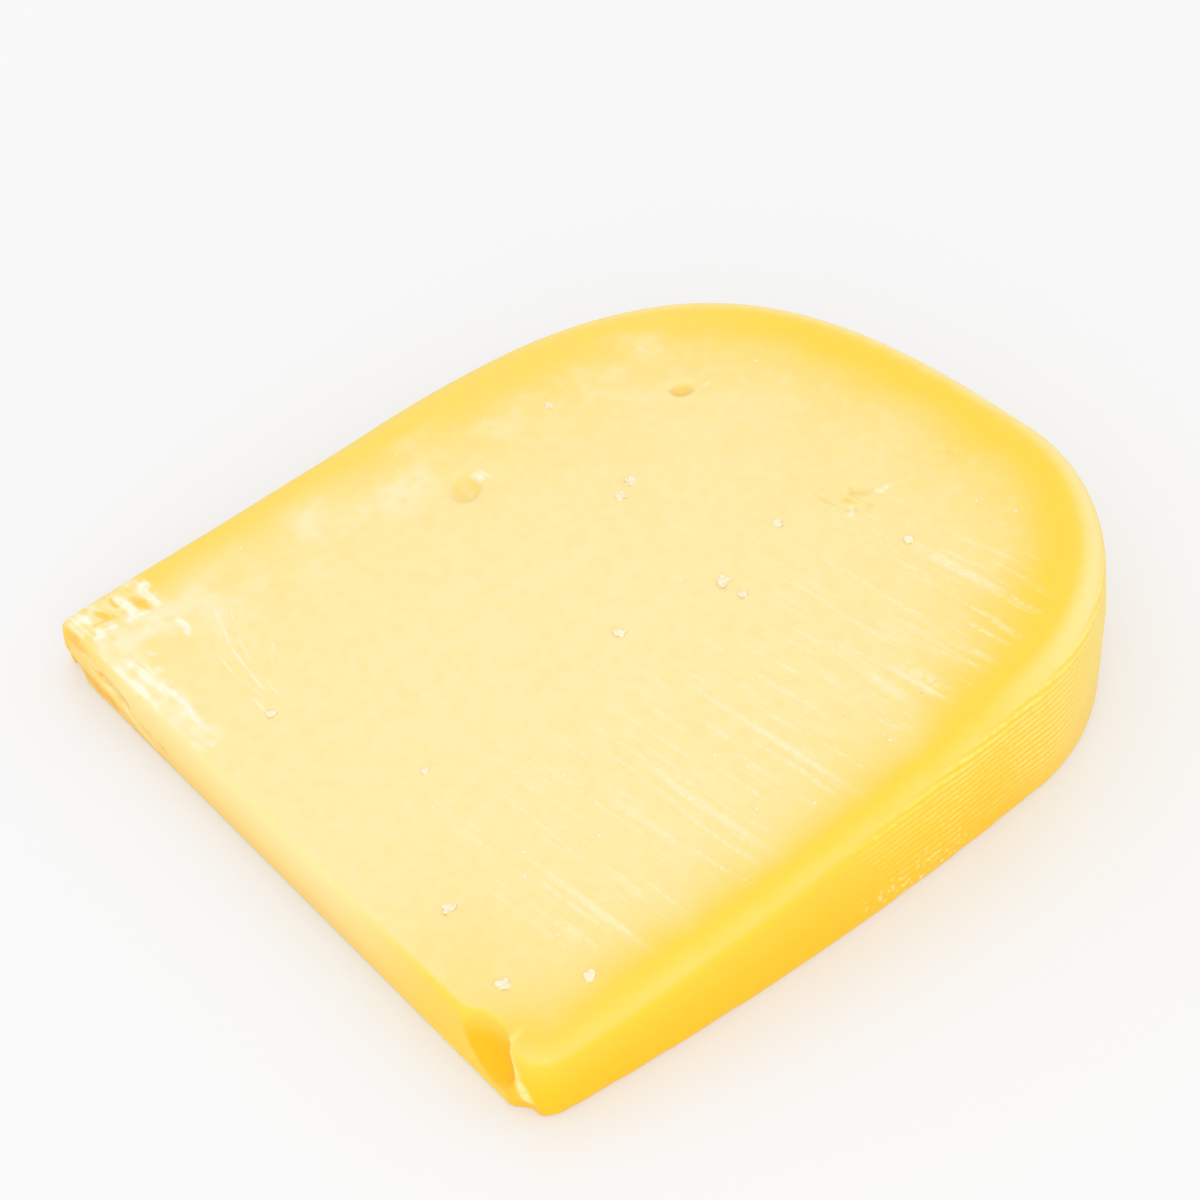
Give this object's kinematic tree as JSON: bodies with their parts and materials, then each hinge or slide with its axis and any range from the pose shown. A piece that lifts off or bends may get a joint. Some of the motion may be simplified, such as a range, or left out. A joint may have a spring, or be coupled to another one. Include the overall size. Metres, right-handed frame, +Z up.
{
  "type": "cheese wedge",
  "caption": "Wedge of semi-hard yellow cheese lying on a cut face, with a flat sloping top, rounded rind rim, small eyes and a chipped tip corner.",
  "frame": {"origin": "under the middle of the piece's bounding box, on the level cut face that it rests on", "axes": "+Y from the blunt tip to the curved rim, X along the axis of the wheel that it was cut from, +Z up"},
  "size_m": [0.1068, 0.1186, 0.0245],
  "materials": {
    "cheese": "smooth, slightly oily cut cheese with a satin rind that carries a fine cloth imprint"
  },
  "bodies": {
    "root": {"cheese_wedge": "cheese"}
  },
  "joints": []
}
